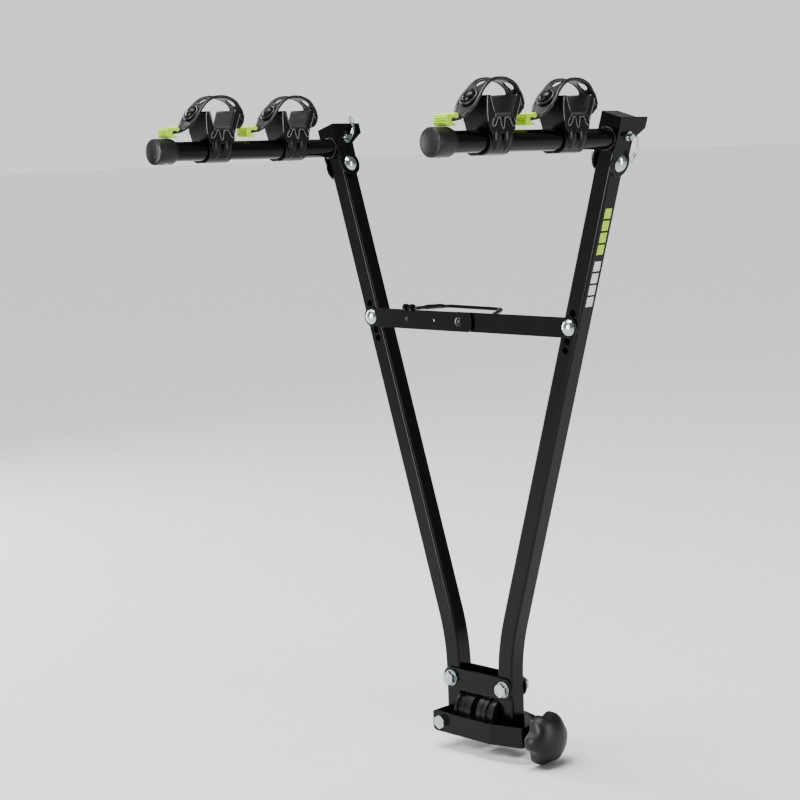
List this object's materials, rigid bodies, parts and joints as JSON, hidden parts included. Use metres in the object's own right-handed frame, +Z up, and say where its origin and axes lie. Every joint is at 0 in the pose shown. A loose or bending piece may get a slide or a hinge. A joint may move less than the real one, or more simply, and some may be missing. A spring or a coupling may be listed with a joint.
{
  "type": "tow ball bicycle rack",
  "caption": "Folding V-frame bicycle rack: padded cradles with straps on two swing-down arms, clamped on a tow ball by a screw yoke.",
  "frame": {"origin": "centre of the tow ball in the jaw", "axes": "+Z up along the legs, +X across the V towards the clamp knob, -Y along the carrying arms"},
  "size_m": [0.5476, 0.3746, 0.8994],
  "materials": {
    "black_steel": "glossy black powder coat",
    "cast_black": "satin black",
    "zinc_steel": "bright zinc plate",
    "black_plastic": "moulded matte black",
    "soft_rubber": "matte rubber",
    "lime_plastic": "fluorescent lime"
  },
  "bodies": {
    "base": {"base_front_plate": "black_steel", "base_back_plate": "black_steel", "leg_pivot_bolts": "zinc_steel", "leg_pivot_washers": "zinc_steel", "leg_pivot_nuts": "zinc_steel"},
    "left_leg": {"left_leg_tube": "black_steel", "left_ball_cup": "cast_black", "left_strut_bolt": "zinc_steel", "left_strut_nut": "zinc_steel", "left_arm_bolt": "zinc_steel", "left_arm_nut": "zinc_steel", "clamp_hinge_bolt": "zinc_steel", "clamp_hinge_nut": "zinc_steel", "clamp_spacers": "black_steel"},
    "right_leg": {"right_leg_tube": "black_steel", "right_ball_cup": "cast_black", "right_strut_bolt": "zinc_steel", "right_strut_nut": "zinc_steel", "right_arm_bolt": "zinc_steel", "right_arm_nut": "zinc_steel"},
    "left_strut": {"left_strut_bar": "black_steel", "knee_rivet_head": "zinc_steel", "bail_lugs": "black_steel"},
    "right_strut": {"right_strut_bar": "black_steel", "knee_rivet_tail": "zinc_steel"},
    "bail": {"lock_bail": "black_steel"},
    "clamp": {"clamp_yoke": "black_steel", "clamp_weld_nut": "black_steel"},
    "pad": {"pressure_pad": "zinc_steel"},
    "screw": {"clamp_screw": "zinc_steel", "clamp_knob": "black_plastic"},
    "left_arm": {"left_arm_bracket": "black_steel", "left_arm_tube": "black_steel", "left_end_cap": "black_plastic", "left_cap_rivet": "zinc_steel", "left_front_cradle": "black_plastic", "left_front_pad": "soft_rubber", "left_rear_cradle": "black_plastic", "left_rear_pad": "soft_rubber"},
    "left_lock": {"left_lock_pin": "zinc_steel", "left_lock_clip": "zinc_steel"},
    "left_front_strap": {"left_front_strap": "soft_rubber", "left_front_tab": "lime_plastic"},
    "left_rear_strap": {"left_rear_strap": "soft_rubber", "left_rear_tab": "lime_plastic"},
    "right_arm": {"right_arm_bracket": "black_steel", "right_arm_tube": "black_steel", "right_end_cap": "black_plastic", "right_cap_rivet": "zinc_steel", "right_front_cradle": "black_plastic", "right_front_pad": "soft_rubber", "right_rear_cradle": "black_plastic", "right_rear_pad": "soft_rubber"},
    "right_lock": {"right_lock_pin": "zinc_steel", "right_lock_clip": "zinc_steel"},
    "right_front_strap": {"right_front_strap": "soft_rubber", "right_front_tab": "lime_plastic"},
    "right_rear_strap": {"right_rear_strap": "soft_rubber", "right_rear_tab": "lime_plastic"}
  },
  "joints": [
    {"name": "left_leg_fold", "type": "hinge", "parent": "base", "child": "left_leg", "pos_m": [-0.048, 0, 0.042], "axis": [0, 1, 0], "range_deg": [0, 14]},
    {"name": "right_leg_fold", "type": "hinge", "parent": "base", "child": "right_leg", "pos_m": [0.048, 0, 0.042], "axis": [0, 1, 0], "range_deg": [-14, 0]},
    {"name": "left_strut_swing", "type": "hinge", "parent": "left_leg", "child": "left_strut", "pos_m": [-0.17902, 0, 0.536], "axis": [0, 1, 0], "range_deg": [0, 66.47]},
    {"name": "right_strut_swing", "type": "hinge", "parent": "right_leg", "child": "right_strut", "pos_m": [0.17902, 0, 0.536], "axis": [0, 1, 0], "range_deg": [-49.75, 0]},
    {"name": "clamp_swing", "type": "hinge", "parent": "left_leg", "child": "clamp", "pos_m": [-0.048, 0, -0.015], "axis": [0, 1, 0], "range_deg": [0, 14]},
    {"name": "bail_lift", "type": "hinge", "parent": "left_strut", "child": "bail", "pos_m": [-0.1, -0.018, 0.5518], "axis": [1, 0, 0], "range_deg": [0, 45]},
    {"name": "pad_advance", "type": "slide", "parent": "clamp", "child": "pad", "axis": [-1, 0, 0], "range_m": [0, 0.00975]},
    {"name": "knob_turn", "type": "hinge", "parent": "pad", "child": "screw", "pos_m": [0.1, 0, -0.017], "axis": [-1, 0, 0], "range_deg": [0, 2341]},
    {"name": "left_arm_fold", "type": "hinge", "parent": "left_leg", "child": "left_arm", "pos_m": [-0.24059, 0, 0.744], "axis": [0.9589, 0, 0.2838], "range_deg": [0, 80]},
    {"name": "left_lock_pull", "type": "slide", "parent": "left_arm", "child": "left_lock", "axis": [0.9589, 0, 0.2838], "range_m": [0, 0.045]},
    {"name": "left_front_strap_open", "type": "hinge", "parent": "left_arm", "child": "left_front_strap", "pos_m": [-0.24909, -0.18592, 0.8147], "axis": [-1, 0.0045, 0], "range_deg": [0, 70]},
    {"name": "left_rear_strap_open", "type": "hinge", "parent": "left_arm", "child": "left_rear_strap", "pos_m": [-0.2485, -0.05394, 0.81271], "axis": [-1, 0.0045, 0], "range_deg": [0, 70]},
    {"name": "right_arm_fold", "type": "hinge", "parent": "right_leg", "child": "right_arm", "pos_m": [0.24059, 0, 0.744], "axis": [0.9589, 0, -0.2838], "range_deg": [0, 80]},
    {"name": "right_lock_pull", "type": "slide", "parent": "right_arm", "child": "right_lock", "axis": [0.9589, 0, -0.2838], "range_m": [0, 0.045]},
    {"name": "right_front_strap_open", "type": "hinge", "parent": "right_arm", "child": "right_front_strap", "pos_m": [0.24909, -0.18592, 0.8147], "axis": [-1, -0.0045, 0], "range_deg": [0, 70]},
    {"name": "right_rear_strap_open", "type": "hinge", "parent": "right_arm", "child": "right_rear_strap", "pos_m": [0.2485, -0.05394, 0.81271], "axis": [-1, -0.0045, 0], "range_deg": [0, 70]}
  ],
  "couplings": [
    {"joint": "right_leg_fold", "follows": "left_leg_fold", "ratio": -1},
    {"joint": "left_strut_swing", "follows": "left_leg_fold", "ratio": 4.7472},
    {"joint": "right_strut_swing", "follows": "left_leg_fold", "ratio": -3.5526},
    {"joint": "clamp_swing", "follows": "left_leg_fold", "ratio": 1},
    {"joint": "knob_turn", "follows": "pad_advance", "rad_per_m": 4188.8}
  ]
}
